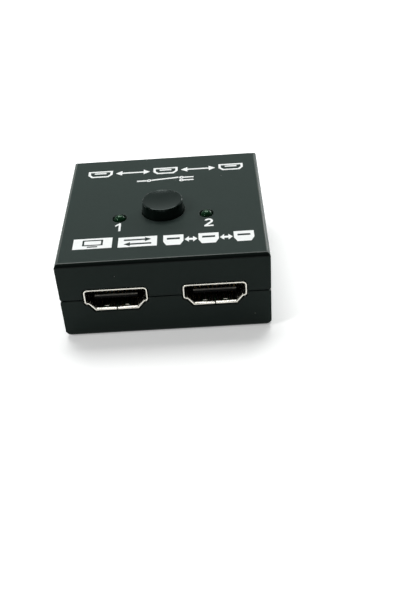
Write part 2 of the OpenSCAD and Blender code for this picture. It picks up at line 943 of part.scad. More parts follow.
module socket_body_rear() {
    at_rear_socket()
        socket_body();
}

module socket_contacts_left() {
    at_left_socket()
        socket_contacts();
}

module socket_contacts_right() {
    at_right_socket()
        socket_contacts();
}

module socket_contacts_rear() {
    at_rear_socket()
        socket_contacts();
}

// Button and push switch

module button_cap() {
    color(button_black)
        translate([0, button_y, 0])
            difference() {
                rotate_extrude()
                    polygon(concat(
                        [[0, cap_low], [cap_d / 2, cap_low], [cap_d / 2, case_h]],
                        arc([dish_half, cap_top - cap_rim_r], cap_rim_r, 0, 90, rim_steps),
                        [[0, cap_top]]
                    ));
                translate([0, 0, cap_top - cap_dish + dish_r])
                    sphere(dish_r);
                difference() {
                    translate([0, 0, cap_low - over])
                        cylinder(h = cap_ceiling - cap_low + over, r = cap_top_r - cap_wall);
                    translate([0, 0, cap_low - 2 * over])
                        cylinder(h = cap_ceiling - cap_low + 3 * over, d = stem_socket_d);
                }
                span([-stem_hole / 2, -stem_hole / 2, cap_low - over],
                     [stem_hole / 2, stem_hole / 2, cap_ceiling]);
            }
}

// Slot between two points, with round ends
module slot(a, b, w) {
    for (p = [a, b])
        translate(p)
            circle(d = w);
    translate(a)
        rotate(atan2(b.y - a.y, b.x - a.x))
            translate([0, -w / 2])
                square([norm(b - a), w]);
}

module switch_slider() {
    color("ivory")
        at_switch()
            difference() {
                union() {
                    span([-slider_half, -slider_front, slider_z], [slider_half, slider_half, slider_top]);
                    span([-stem_w / 2, -stem_w / 2, slider_top - over],
                         [stem_w / 2, stem_w / 2, cap_ceiling - stem_gap - board_top]);
                }
                translate([0, 0, slider_z - over])
                    cylinder(h = spring_bore_top - slider_z + over, d = spring_d + 2 * spring_gap);
                translate([0, 0, slider_z])
                    along_y(-slider_front - over, -slider_front + track_depth) {
                        slot([0, tip_rise], track_end, track_w);
                        slot([0, tip_rise], [-track_end.x, track_end.y], track_w);
                        slot([-track_end.x, track_end.y], track_end, track_w);
                    }
                both_sides()
                    span([slider_half - wiper_sink, -wiper_l / 2, slider_z + wiper_lift],
                         [slider_half + over, wiper_l / 2, slider_z + wiper_lift + wiper_h]);
            }
}

module slider_contacts() {
    color(gold)
        at_switch()
            both_sides()
                span([slider_half - wiper_sink, -wiper_l / 2, slider_z + wiper_lift],
                     [wiper_out, wiper_l / 2, slider_z + wiper_lift + wiper_h]);
}

// Wire wound upwards from z = 0 to a length, as one tube
module wound_wire(mid_r, wire, length, turns) {
    last = turns * spring_steps;
    sides = spring_sides;
    points = [
        for (i = [0 : last], k = [0 : sides - 1])
            let (
                turn = 360 * i / spring_steps,
                round_wire = 360 * k / sides,
                r = mid_r + wire / 2 * cos(round_wire),
                z = wire / 2 + (length - wire) * i / last + wire / 2 * sin(round_wire)
            )
            [r * cos(turn), r * sin(turn), z]
    ];
    skin = [
        for (i = [0 : last - 1], k = [0 : sides - 1], half = [0, 1])
            let (
                a = i * sides + k,
                b = i * sides + (k + 1) % sides
            )
            half == 0 ? [a, b, b + sides] : [a, b + sides, a + sides]
    ];
    start_cap = [for (k = [1 : sides - 2]) [0, k + 1, k]];
    end_cap = [for (k = [1 : sides - 2]) [last * sides, last * sides + k, last * sides + k + 1]];
    polyhedron(points, concat(skin, start_cap, end_cap));
}

module switch_spring() {
    mid_r = (spring_d - spring_wire) / 2;
    color(tinned)
        at_switch()
            translate([0, 0, switch_floor])
                wound_wire(mid_r, spring_wire, spring_bore_top - switch_floor, spring_turns);
}

module latch_pin() {
    tip_y = -slider_front + track_depth - latch_gap;
    pivot_y = -switch_w / 2 + latch_gap;
    color(tinned)
        at_switch()
            union() {
                translate([0, pivot_y, latch_z])
                    rotate([-90, 0, 0])
                        cylinder(h = latch_arm_y - pivot_y, d = latch_wire);
                translate([0, latch_arm_y, latch_z])
                    cylinder(h = latch_l, d = latch_wire);
                translate([0, latch_arm_y, latch_z + latch_l])
                    rotate([-90, 0, 0])
                        cylinder(h = tip_y - latch_arm_y, d = latch_wire);
                for (z = [latch_z, latch_z + latch_l])
                    translate([0, latch_arm_y, z])
                        sphere(d = latch_wire);
            }
}

// Place of each terminal, on the board at the middle of the blade
module at_terminals() {
    for (side = [-1, 1], i = [-1 : 1])
        translate([side * (cavity - terminal_t / 2), button_y + i * terminal_pitch, board_top])
            children();
}

module switch_terminals() {
    color(tinned)
        at_terminals() {
            span([-terminal_t / 2, -blade_w / 2, switch_floor],
                 [terminal_t / 2, blade_w / 2, switch_floor + blade_h]);
            span([-terminal_t / 2, -terminal_w / 2, -board_t - solder_end],
                 [terminal_t / 2, terminal_w / 2, switch_floor + terminal_w]);
        }
}

module switch_housing() {
    outer = switch_w / 2;
    spigot_d = spring_d - 2 * spring_wire - spring_gap;
    color(moulding_black)
        difference() {
            at_switch()
                difference() {
                    union() {
                        difference() {
                            span([-outer, -outer, 0], [outer, outer, switch_h]);
                            span([-cavity, -cavity, switch_floor], [cavity, cavity, switch_h + over]);
                        }
                        cylinder(h = switch_floor + spigot_h, d = spigot_d);
                        both_ends()
                            span([-catch_w / 2, outer - switch_wall / 2, catch_z - catch_h / 2],
                                 [catch_w / 2, outer + frame_t, catch_z + catch_h / 2]);
                    }
                    translate([0, -outer - over, latch_z])
                        rotate([-90, 0, 0])
                            cylinder(h = switch_wall + over + latch_gap, d = latch_wire + 2 * latch_bore_gap);
                }
            at_terminals()
                span([-terminal_t / 2 - contact_gap, -terminal_w / 2 - contact_gap, -over],
                     [terminal_t / 2 + contact_gap, terminal_w / 2 + contact_gap, switch_floor + over]);
        }
}

module switch_frame() {
    outer = switch_w / 2;
    window_half_w = catch_w / 2 + catch_gap;
    window_half_h = catch_h / 2 + catch_gap;
    hole = stem_w / 2 + frame_gap;
    color(tinned)
        at_switch()
            difference() {
                union() {
                    span([-outer, -outer - frame_t, switch_h], [outer, outer + frame_t, frame_top]);
                    both_ends()
                        span([-frame_tab_w / 2, outer, switch_h - frame_tab_l],
                             [frame_tab_w / 2, outer + frame_t, frame_top]);
                }
                span([-hole, -hole, switch_h - over], [hole, hole, frame_top + over]);
                both_ends()
                    span([-window_half_w, outer - over, catch_z - window_half_h],
                         [window_half_w, outer + frame_t + over, catch_z + window_half_h]);
            }
}

// Indicators

module led_lens() {
    color(lens_green)
        translate([0, 0, led_base])
            union() {
                difference() {
                    cylinder(h = led_flange_h, d = led_flange_d);
                    span([led_flange_d / 2 - led_flat, -led_flange_d, -over],
                         [led_flange_d, led_flange_d, led_flange_h + over]);
                }
                cylinder(h = led_h - led_d / 2, d = led_d);
                translate([0, 0, led_h - led_d / 2])
                    sphere(d = led_d);
            }
}

module led_leads() {
    color(tinned)
        for (lead = [-1, 1])
            translate([lead * lead_pitch / 2, 0, 0])
                span([-lead_w / 2, -lead_w / 2, board_z - solder_end], [lead_w / 2, lead_w / 2, led_base]);
}

module led_lens_left() {
    translate([-led_x, led_y, 0])
        led_lens();
}

module led_lens_right() {
    translate([led_x, led_y, 0])
        led_lens();
}

module led_leads_left() {
    translate([-led_x, led_y, 0])
        led_leads();
}

module led_leads_right() {
    translate([led_x, led_y, 0])
        led_leads();
}

// Small components on the board

module selector_chip() {
    dot_x = chip_l / 2 - chip_dot_d;
    dot_y = chip_w / 2 - chip_dot_d;
    color(moulding_black)
        translate([0, chip_y, board_top])
            difference() {
                span([-chip_l / 2, -chip_w / 2, 0], [chip_l / 2, chip_w / 2, chip_h]);
                translate([-dot_x, -dot_y, chip_h - chip_dot_depth])
                    cylinder(h = over, d = chip_dot_d);
            }
}

// Body with a metal end on each side along Y, standing on the board
module end_capped(size) {
    span([-size.x / 2, -size.y / 2, 0], [size.x / 2, size.y / 2, size.z]);
    both_ends()
        span([-size.x / 2 - end_cap_out, size.y / 2 - end_cap_l, 0],
             [size.x / 2 + end_cap_out, size.y / 2 + end_cap_out, size.z + end_cap_out]);
}

module resistors() {
    color("dimgray")
        both_sides()
            for (i = [0 : resistors_per_side - 1])
                translate([resistor_x + i * resistor_pitch, chip_y, board_top])
                    end_capped(resistor);
}

module capacitors() {
    color("tan")
        both_sides()
            for (i = [0 : capacitors_per_side - 1])
                translate([resistor_x + i * capacitor_pitch, capacitor_y, board_top])
                    rotate([0, 0, 90])
                        end_capped([capacitor.y, capacitor.x, capacitor.z]);
}

module diodes() {
    color(moulding_black)
        for (side = [-1, 1])
            translate([side * socket_x, diode_y, board_top])
                span([-diode.x / 2, -diode.y / 2, 0], [diode.x / 2, diode.y / 2, diode.z]);
}

top_cover();
bottom_tray();
case_screws();
circuit_board();
board_posts();
board_screws();
socket_shell_left();
socket_shell_right();
socket_shell_rear();
socket_body_left();
socket_body_right();
socket_body_rear();
socket_contacts_left();
socket_contacts_right();
socket_contacts_rear();
button_cap();
switch_slider();
slider_contacts();
switch_spring();
latch_pin();
switch_housing();
switch_frame();
switch_terminals();
led_lens_left();
led_lens_right();
led_leads_left();
led_leads_right();
selector_chip();
resistors();
capacitors();
diodes();
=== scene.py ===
# %% [markdown]
# # A two-way video switch: finishing the frame
# The construction model already gives every solid its true size and place. This
# lesson loads it as a fixed frame and then works like a finishing shop: coat the
# folded sheet, plate the sockets, polish the button, cast the lamps and print the
# cover. Nothing is moved or resized, because the same frame drives the motion.

# %% Load the frame
import math

import bmesh
import bpy
from mathutils import Matrix, Vector
from mathutils.geometry import tessellate_polygon


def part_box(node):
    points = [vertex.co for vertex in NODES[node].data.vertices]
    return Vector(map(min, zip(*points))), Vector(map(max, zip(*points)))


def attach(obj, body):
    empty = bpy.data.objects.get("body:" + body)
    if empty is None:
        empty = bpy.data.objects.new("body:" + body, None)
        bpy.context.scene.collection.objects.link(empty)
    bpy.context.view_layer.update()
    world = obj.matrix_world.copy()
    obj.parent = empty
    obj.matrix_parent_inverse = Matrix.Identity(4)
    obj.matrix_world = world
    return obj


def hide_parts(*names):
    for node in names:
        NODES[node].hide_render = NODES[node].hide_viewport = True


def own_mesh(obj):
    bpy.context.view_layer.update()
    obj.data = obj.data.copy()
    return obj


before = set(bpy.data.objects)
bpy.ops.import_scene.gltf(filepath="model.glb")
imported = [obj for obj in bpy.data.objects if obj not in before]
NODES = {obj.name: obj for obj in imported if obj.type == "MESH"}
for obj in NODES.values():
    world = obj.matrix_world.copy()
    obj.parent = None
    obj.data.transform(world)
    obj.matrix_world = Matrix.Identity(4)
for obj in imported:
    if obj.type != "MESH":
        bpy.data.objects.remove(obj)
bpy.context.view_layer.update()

MM = 0.001

# %% [markdown]
# ## Where the camera stands
# The picture looks down on the front edge from a short distance, with the camera
# rolled a little to the left. A camera can be set by eye until it looks right, but
# a fit to the edges of the case and the sockets gives the eye point, the angles and
# the focal length in pixels at once. Blender wants a matrix whose columns are the
# camera's right, up and backward directions, and a focal length in millimetres.

# %% Camera
IMAGE_W, IMAGE_H = 401, 601
FOCAL_PX = 843.47
SENSOR_MM = 36.0
EYE = Vector((12.4712, -180.2954, 127.3011)) * MM
YAW, PITCH, ROLL = -0.02852, 0.65071, -0.07499
NEAREST = 10 * MM


def stand_camera():
    forward = Vector((math.sin(YAW) * math.cos(PITCH), math.cos(YAW) * math.cos(PITCH), -math.sin(PITCH)))
    level = Vector((math.cos(YAW), -math.sin(YAW), 0.0))
    above = level.cross(forward)
    right = math.cos(ROLL) * level + math.sin(ROLL) * above
    up = math.cos(ROLL) * above - math.sin(ROLL) * level
    turn = Matrix((right, up, -forward)).transposed()
    lens = bpy.data.cameras.new("portrait_camera")
    lens.sensor_width = SENSOR_MM
    lens.lens = FOCAL_PX / max(IMAGE_W, IMAGE_H) * SENSOR_MM
    lens.clip_start = NEAREST
    stand = bpy.data.objects.new("portrait_camera", lens)
    stand.matrix_world = Matrix.Translation(EYE) @ turn.to_4x4()
    bpy.context.scene.collection.objects.link(stand)
    bpy.context.scene.camera = stand
    return stand


camera = stand_camera()
print("camera: lens", round(camera.data.lens, 2), "mm,", round(EYE.length / MM), "mm from the base")

# %% [markdown]
# ## The floor
# The object stands on white paper. To the eye and to mirrors the paper is white, but it
# throws back less light than real paper would, so that it doesn't lift the black of
# the case. One plain white sheet would be simpler, and would turn the coat grey. The
# paper keeps the shadow, which shows where the object stands.

# %% Floor
FLOOR_HALF = 1.6
FLOOR_DROP = 0.02 * MM
FLOOR_WHITE = (0.96, 0.96, 0.955, 1.0)
FLOOR_BOUNCE = (0.15, 0.15, 0.148, 1.0)
FLOOR_LIFT = 0.32


def lay_floor():
    sheet = bpy.data.meshes.new("studio_floor")
    sheet.from_pydata([(x * FLOOR_HALF, y * FLOOR_HALF, -FLOOR_DROP)
                       for x, y in ((-1, -1), (1, -1), (1, 1), (-1, 1))], [], [(0, 1, 2, 3)])
    floor = bpy.data.objects.new("studio_floor", sheet)
    bpy.context.scene.collection.objects.link(floor)
    return floor


def paint_floor(floor):
    paper = bpy.data.materials.new("white_paper")
    paper.use_nodes = True
    nodes, links = paper.node_tree.nodes, paper.node_tree.links
    nodes.clear()
    rays = nodes.new("ShaderNodeLightPath")
    seen = rays.outputs["Is Camera Ray"]
    for other in ("Is Glossy Ray", "Is Transmission Ray"):
        either = nodes.new("ShaderNodeMath")
        either.operation = "MAXIMUM"
        links.new(seen, either.inputs[0])
        links.new(rays.outputs[other], either.inputs[1])
        seen = either.outputs[0]
    bounce, white = nodes.new("ShaderNodeBsdfDiffuse"), nodes.new("ShaderNodeBsdfDiffuse")
    bounce.inputs["Color"].default_value = FLOOR_BOUNCE
    white.inputs["Color"].default_value = FLOOR_WHITE
    glow = nodes.new("ShaderNodeEmission")
    glow.inputs["Strength"].default_value = FLOOR_LIFT
    both, pick = nodes.new("ShaderNodeAddShader"), nodes.new("ShaderNodeMixShader")
    links.new(white.outputs[0], both.inputs[0])
    links.new(glow.outputs[0], both.inputs[1])
    links.new(seen, pick.inputs[0])
    links.new(bounce.outputs[0], pick.inputs[1])
    links.new(both.outputs[0], pick.inputs[2])
    links.new(pick.outputs[0], nodes.new("ShaderNodeOutputMaterial").inputs["Surface"])
    floor.data.materials.append(paper)


paint_floor(lay_floor())
print("floor: white paper,", 2 * FLOOR_HALF, "m square")

# %% [markdown]
# ## The room and its panels
# Black sheet shows mostly what it reflects. A wide soft panel high behind the object,
# in a room that is light behind and dark in front, gives the cover its even grey and
# leaves the bend and the front dark. A small window at the left puts a glint on the
# lamps, and one low at the right draws the line of the right edge. A weak catch light,
# low in front, whitens the lips of the sockets. It is kept off everything else, because
# the bend would mirror it too. One large light above would be simpler, but it would
# flatten all of this.

# %% Room and panels
SKY_FRONT = (0.043, 0.044, 0.044, 1.0)
SKY_BACK = (0.42, 0.465, 0.455, 1.0)
DARK_UNTIL, LIGHT_FROM = -0.1, 0.5
AIM = Vector((0.0, 0.0, 10.0)) * MM
SOCKET_PIECES = [name for name in NODES if name.startswith(("socket_shell", "socket_body"))]
PANELS = {
    "back_panel": ((-20, 325, 682), (600, 400), 4.8, []),
    "left_window": ((-400, -200, 420), (100, 100), 0.9, []),
    "right_window": ((360, 500, 140), (140, 140), 0.35, []),
    "catch_light": ((-33, -420, 215), (160, 80), 0.14, SOCKET_PIECES),
}


def colour_sky():
    sky = bpy.data.worlds.new("studio_room")
    sky.use_nodes = True
    nodes, links = sky.node_tree.nodes, sky.node_tree.links
    parts, spread = nodes.new("ShaderNodeSeparateXYZ"), nodes.new("ShaderNodeMapRange")
    links.new(nodes.new("ShaderNodeTexCoord").outputs["Generated"], parts.inputs[0])
    links.new(parts.outputs["Y"], spread.inputs["Value"])
    spread.inputs["From Min"].default_value, spread.inputs["From Max"].default_value = DARK_UNTIL, LIGHT_FROM
    wash = nodes.new("ShaderNodeMix")
    wash.data_type = "RGBA"
    front, back = [end for end in wash.inputs if end.type == "RGBA"]
    front.default_value, back.default_value = SKY_FRONT, SKY_BACK
    links.new(spread.outputs["Result"], wash.inputs["Factor"])
    links.new([end for end in wash.outputs if end.type == "RGBA"][0], nodes["Background"].inputs["Color"])
    bpy.context.scene.world = sky


def hang_panel(name, place_mm, size_mm, watts, only_on):
    """A soft panel that shines on everything, or only on the pieces that are named."""
    lamp = bpy.data.lights.new(name, "AREA")
    lamp.shape = "RECTANGLE"
    lamp.size, lamp.size_y = (side * MM for side in size_mm)
    lamp.energy = watts
    panel = bpy.data.objects.new(name, lamp)
    panel.location = Vector(place_mm) * MM
    panel.rotation_euler = (AIM - panel.location).to_track_quat("-Z", "Y").to_euler()
    panel.visible_camera = False
    bpy.context.scene.collection.objects.link(panel)
    if only_on:
        lit = bpy.data.collections.new("lit_by_" + name)
        for piece in only_on:
            lit.objects.link(NODES[piece])
        panel.light_linking.receiver_collection = lit


colour_sky()
for name, (place, size, watts, only_on) in PANELS.items():
    hang_panel(name, place, size, watts, only_on)
    print(name, "at", place, "mm,", watts, "W")
bpy.context.scene.view_settings.view_transform = "Standard"

# %% [markdown]
# ## Reading a finish as layers
# A finish is never one flat colour. Each one here is a Principled shader whose
# colour, roughness and small relief come from noise measured in millimetres, so a
# patch of coating has the same size on every piece. The pieces keep their places in
# their meshes, so object coordinates are already metres in the frame. Values that
# are even all over go straight onto the shader's own sockets.

# %% Helpers for finishes
def rgb(red, green, blue):
    return (red, green, blue, 1.0)


def shades(colour, share):
    """A darker and a lighter shade of a colour, this share apart from it."""
    return [tuple(min(1.0, c * k) for c in colour[:3]) + (1.0,) for k in (1 - share, 1 + share)]


class Finish:
    """A node material under construction."""

    def __init__(self, name, **sockets):
        self.material = bpy.data.materials.new(name)
        self.material.use_nodes = True
        self.nodes, self.links = self.material.node_tree.nodes, self.material.node_tree.links
        self.shader = self.nodes["Principled BSDF"]
        for socket, value in sockets.items():
            self.shader.inputs[socket.replace("_", " ")].default_value = value

    def add(self, kind, **values):
        node = self.nodes.new("ShaderNode" + kind)
        for socket, value in values.items():
            node.inputs[socket.replace("_", " ")].default_value = value
        return node

    def place(self, size_mm, stretch=(1, 1, 1)):
        """Object coordinates in which one unit is size_mm, or more along a stretched axis."""
        scale = self.add("Mapping", Scale=[1 / (size_mm * MM * s) for s in stretch])
        self.links.new(self.add("TexCoord").outputs["Object"], scale.inputs["Vector"])
        return scale.outputs["Vector"]

    def noise(self, size_mm, detail=2.0, stretch=(1, 1, 1)):
        grain = self.add("TexNoise", Scale=1.0, Detail=detail)
        self.links.new(self.place(size_mm, stretch), grain.inputs["Vector"])
        return grain.outputs["Fac"]

    def spots(self, size_mm, radius, kept):
        """Scattered round spots, one for a share of the cells of a Voronoi pattern."""
        cells = self.add("TexVoronoi", Scale=1.0)
        self.links.new(self.place(size_mm), cells.inputs["Vector"])
        near = self.limits(cells.outputs["Distance"], 1.0, 0.0, radius * 0.6, radius)
        parts = self.add("SeparateColor")
        self.links.new(cells.outputs["Color"], parts.inputs["Color"])
        return self.math("MULTIPLY", near, self.math("LESS_THAN", parts.outputs["Red"], kept))

    def facing(self, axis):
        """How far the surface faces along an axis of the frame, from -1 to 1."""
        parts = self.add("SeparateXYZ")
        self.links.new(self.add("NewGeometry").outputs["Normal"], parts.inputs["Vector"])
        return parts.outputs[axis]

    def math(self, operation, *terms):
        """A sum of the shader editor, of terms that are numbers or the outputs of nodes."""
        step = self.nodes.new("ShaderNodeMath")
        step.operation = operation
        for socket, term in zip(step.inputs, terms):
            if isinstance(term, float):
                socket.default_value = term
            else:
                self.links.new(term, socket)
        return step.outputs[0]

    def limits(self, factor, low, high, start=0.3, end=0.7):
        """The factor between start and end, spread from low to high."""
        spread = self.add("MapRange", From_Min=start, From_Max=end, To_Min=low, To_Max=high)
        self.links.new(factor, spread.inputs["Value"])
        return spread.outputs["Result"]

    def blend(self, factor, first, second):
        """A colour between two colours, each a colour or the output of a node."""
        mix = self.nodes.new("ShaderNodeMix")
        mix.data_type = "RGBA"
        self.links.new(factor, mix.inputs["Factor"])
        for socket, colour in (("A", first), ("B", second)):
            end = [i for i in mix.inputs if i.name == socket and i.type == "RGBA"][0]
            if isinstance(colour, tuple):
                end.default_value = colour
            else:
                self.links.new(colour, end)
        return [o for o in mix.outputs if o.type == "RGBA"][0]

    def relief(self, height, depth_mm, strength=1.0):
        """A bump of this depth, on top of any bump that is there already."""
        bump = self.add("Bump", Strength=strength, Distance=depth_mm * MM)
        self.links.new(height, bump.inputs["Height"])
        normal = self.shader.inputs["Normal"]
        if normal.is_linked:
            self.links.new(normal.links[0].from_socket, bump.inputs["Normal"])
        self.links.new(bump.outputs["Normal"], normal)

    def colour(self, output):
        self.links.new(output, self.shader.inputs["Base Color"])

    def roughness(self, output):
        self.links.new(output, self.shader.inputs["Roughness"])


def plain_finish(name, colour, rough, patch_mm, share, depth_mm, **sockets):
    """A finish with uneven colour, uneven gloss and a fine relief, for a piece of one material."""
    made = Finish(name, **sockets)
    patches = made.noise(patch_mm, 3.0)
    made.colour(made.blend(made.limits(patches, 0.0, 1.0), *shades(colour, share)))
    made.roughness(made.limits(made.noise(patch_mm / 3), rough * 0.8, rough * 1.2))
    made.relief(made.noise(patch_mm / 6), depth_mm, 0.5)
    return made.material


def dress(material, *names):
    for name in names:
        NODES[name].data.materials.clear()
        NODES[name].data.materials.append(material)


print("helpers ready")

# %% [markdown]
# ## Powder coat on folded sheet
# The case is steel sheet that was cut, folded and then powder coated, which leaves a
# satin black with a fine orange peel and a faint blue green haze at low angles. On the
# bends the coat flows out smoother, so they are glossier, and their colour is painted a
# deeper black as painted shade. A thin light line along their crest is a painted
# highlight. One colour all over would be simpler, but the bends are what tells folded
# sheet from a moulding. How far a face looks up tells them apart: a flat looks up or
# outwards, a bend lies in between.

# %% Powder coat
COAT_BLACK = rgb(0.0034, 0.0085, 0.0068)
# painted shade: the bends are coloured a deeper black than the flats
PAINTED_BEND_SHADE = rgb(0.0012, 0.0026, 0.0021)
COAT_HAZE = rgb(0.78, 1.0, 0.92)
COAT_GLOSS = rgb(0.86, 1.0, 0.95)
DUST_GREY = rgb(0.30, 0.31, 0.30)
# painted highlight: a light grey line along the crest of each bend
PAINTED_CREST_HIGHLIGHT = rgb(0.15, 0.158, 0.15)
LEVEL_BAND, UPRIGHT_BAND = (0.88, 0.98), (0.02, 0.14)
CREST_RISE, CREST_FALL = (0.88, 0.94), (0.965, 0.99)
BEND_ROUGH, FLAT_ROUGH = 0.20, 0.40


def coat_black_sheet():
    coat = Finish("powder_coat_black", Specular_IOR_Level=0.125, Specular_Tint=COAT_GLOSS,
                  Sheen_Weight=0.27, Sheen_Roughness=0.5, Sheen_Tint=COAT_HAZE)
    up = coat.facing("Z")
    level = coat.limits(up, 0.0, 1.0, *LEVEL_BAND)
    upright = coat.limits(up, 1.0, 0.0, *UPRIGHT_BAND)
    flat = coat.math("MAXIMUM", level, upright)
    crest = coat.math("MULTIPLY", coat.limits(up, 0.0, 1.0, *CREST_RISE),
                      coat.limits(up, 1.0, 0.0, *CREST_FALL))
    tone = coat.blend(coat.limits(coat.noise(7.0, 3.0), 0.0, 1.0), *shades(COAT_BLACK, 0.10))
    # painted shade on the bends, with a painted highlight along their crest
    bend_shade_and_crest_highlight = coat.blend(crest, coat.blend(flat, PAINTED_BEND_SHADE, tone), PAINTED_CREST_HIGHLIGHT)
    dust = coat.limits(coat.spots(2.9, 0.05, 0.2), 0.0, 0.7, 0.0, 1.0)
    coat.colour(coat.blend(dust, bend_shade_and_crest_highlight, DUST_GREY))
    peel = coat.limits(coat.noise(0.5), -0.04, 0.04)
    coat.roughness(coat.math("ADD", coat.limits(flat, BEND_ROUGH, FLAT_ROUGH, 0.0, 1.0), peel))
    coat.relief(coat.noise(0.42), 0.006, 0.5)
    coat.relief(coat.noise(0.14, 1.0), 0.002, 0.4)
    return coat.material


dress(coat_black_sheet(), "top_cover", "bottom_tray")
print("case: powder coat on", NODES["top_cover"].name, "and", NODES["bottom_tray"].name)

# %% [markdown]
# ## Eased edges
# Sharp edges would give the model away at once, since coated edges always catch a
# thin line of light. The frame's mesh must stay as it is, so the easing is done by
# modifiers: weld the loose corners, bevel what is sharp, hold every point inside the
# box of the bare node and even out the shading.

# %% Eased edges
CASE_EASE = 0.09
WELD_REACH = 0.0001 * MM
SHARP_FROM = math.radians(32)
FACE_WEIGHT = 80


def shape_nodes(name):
    """An empty group of geometry nodes, with its way in and its way out."""
    group = bpy.data.node_groups.new(name, "GeometryNodeTree")
    for way in ("INPUT", "OUTPUT"):
        group.interface.new_socket("Geometry", in_out=way, socket_type="NodeSocketGeometry")
    return group, group.nodes.new("NodeGroupInput").outputs[0], group.nodes.new("NodeGroupOutput").inputs[0]


def even_shading():
    """Geometry nodes that drop the imported normals and shade every face smooth."""
    group, start, end = shape_nodes("even_shading")
    drop = group.nodes.new("GeometryNodeRemoveAttribute")
    smooth = group.nodes.new("GeometryNodeSetShadeSmooth")
    drop.inputs["Name"].default_value = "custom_normal"
    group.links.new(start, drop.inputs["Geometry"])
    group.links.new(drop.outputs[0], smooth.inputs["Geometry"])
    group.links.new(smooth.outputs[0], end)
    return group


def kept_inside(name):
    """Geometry nodes that hold every point in the box of the bare node."""
    group, start, end = shape_nodes("inside_" + name)
    place = group.nodes.new("GeometryNodeInputPosition").outputs[0]
    for operation, corner in zip(("MAXIMUM", "MINIMUM"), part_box(name)):
        limit = group.nodes.new("ShaderNodeVectorMath")
        limit.operation = operation
        limit.inputs[1].default_value = corner
        group.links.new(place, limit.inputs[0])
        place = limit.outputs[0]
    move = group.nodes.new("GeometryNodeSetPosition")
    group.links.new(start, move.inputs["Geometry"])
    group.links.new(place, move.inputs["Position"])
    group.links.new(move.outputs[0], end)
    return group


EVEN_SHADING = even_shading()


def ease_edges(width_mm, *names, steps=2):
    for name in names:
        stack = NODES[name].modifiers
        stack.new("weld", "WELD").merge_threshold = WELD_REACH
        stack.new("even_shading", "NODES").node_group = EVEN_SHADING
        ease = stack.new("eased_edges", "BEVEL")
        ease.width, ease.segments = width_mm * MM, steps
        ease.limit_method, ease.angle_limit = "ANGLE", SHARP_FROM
        ease.miter_outer = "MITER_ARC"
        ease.use_clamp_overlap = False
        stack.new("kept_inside", "NODES").node_group = kept_inside(name)
        stack.new("flat_faces", "WEIGHTED_NORMAL").weight = FACE_WEIGHT


ease_edges(CASE_EASE, "top_cover", "bottom_tray", steps=3)
print("case: edges eased by", CASE_EASE, "mm")

# %% [markdown]
# ## Black screws
# Four countersunk screws hold the tray inside the cover. They are blackened steel, a
# little glossier and more brown than the coat around them, which is how the eye
# finds them on a black wall. The cross recess is real geometry in the frame, so an
# eased edge and a rubbed finish are all that is needed.

# %% Case screws
BLACK_OXIDE = rgb(0.020, 0.0185, 0.0175)
SCREW_EASE = 0.05
dress(plain_finish("black_oxide", BLACK_OXIDE, 0.34, 0.8, 0.25, 0.003, Metallic=0.55), "case_screws")
ease_edges(SCREW_EASE, "case_screws")
print("screws: black oxide, edges eased by", SCREW_EASE, "mm")

# %% [markdown]
# ## Sockets
# Each socket is a strip of nickel plated steel folded round a black moulding. Its ends
# meet in a seam under the opening, and its mouth is flared to guide the plug. Plating
# is a metal with a warm tone and fine draw lines along the fold. The moulding is matt,
# with a painted grey highlight on the slanted tip of its tongue. The contacts in the
# shade behind are gold plated, and their gold is painted darker as painted shade. The
# lips are only a third of a millimetre thick, so a small bevel is enough to turn them
# into bright lines.

# %% Socket shells, mouldings and contacts
NICKEL = rgb(0.76, 0.74, 0.67)
MOULDING_BLACK = rgb(0.004, 0.004, 0.0039)
PAINTED_LEAD_IN_HIGHLIGHT = rgb(0.30, 0.294, 0.275)
# painted shade: the gold is coloured much darker than real plating, as the contacts lie in shade
GOLD_IN_PAINTED_SHADE = rgb(0.24, 0.165, 0.065)
LIP_EASE, MOULDING_EASE = 0.08, 0.04
SOCKETS = ("left", "right", "rear")


def named(piece):
    return [piece + "_" + place for place in SOCKETS]


def plate_nickel():
    plate = Finish("nickel_plate", Metallic=1.0)
    lines = plate.noise(0.25, 2.0, (1, 12, 1))
    plate.colour(plate.blend(plate.limits(plate.noise(2.5, 3.0), 0.0, 1.0), *shades(NICKEL, 0.06)))
    plate.roughness(plate.limits(lines, 0.16, 0.30))
    plate.relief(lines, 0.002, 0.4)
    return plate.material


def mould_black():
    """Matt black, with a painted grey highlight on the slanted lead-in of a tongue."""
    black = Finish("black_moulding", Specular_IOR_Level=0.04)
    slant = black.math("MULTIPLY", black.math("ABSOLUTE", black.facing("Y")), black.facing("Z"))
    tone = black.blend(black.limits(black.noise(0.9, 3.0), 0.0, 1.0), *shades(MOULDING_BLACK, 0.2))
    # painted highlight: faces that slant up and forwards or backwards are coloured light grey
    black.colour(black.blend(black.limits(slant, 0.0, 1.0, 0.3, 0.45), tone, PAINTED_LEAD_IN_HIGHLIGHT))
    black.roughness(black.limits(black.noise(0.3, 2.0), 0.42, 0.6))
    black.relief(black.noise(0.15, 2.0), 0.004, 0.5)
    return black.material


nickel_plate = plate_nickel()
black_moulding = mould_black()
gold_plate = plain_finish("gold_plate", GOLD_IN_PAINTED_SHADE, 0.40, 0.6, 0.08, 0.001, Metallic=1.0)
dress(nickel_plate, *named("socket_shell"))
dress(black_moulding, *named("socket_body"))
dress(gold_plate, *named("socket_contacts"))
ease_edges(LIP_EASE, *named("socket_shell"), steps=3)
ease_edges(MOULDING_EASE, *named("socket_body"))
print("sockets: nickel, black moulding and gold on", len(SOCKETS), "sockets")

# %% [markdown]
# ## The push button
# The button is a polished black moulding with a dished top, so it shows a clear
# picture of the room where the coat beside it only shows a haze. Its gloss comes
# from a low roughness. Faint swirls, as fingers leave, keep it from looking like
# glass. The frame's cap has the dish and the rounded rim already and stays.

# %% Button
BUTTON_BLACK = rgb(0.0020, 0.0052, 0.004)
BUTTON_GLOSS = rgb(0.82, 1.0, 0.94)


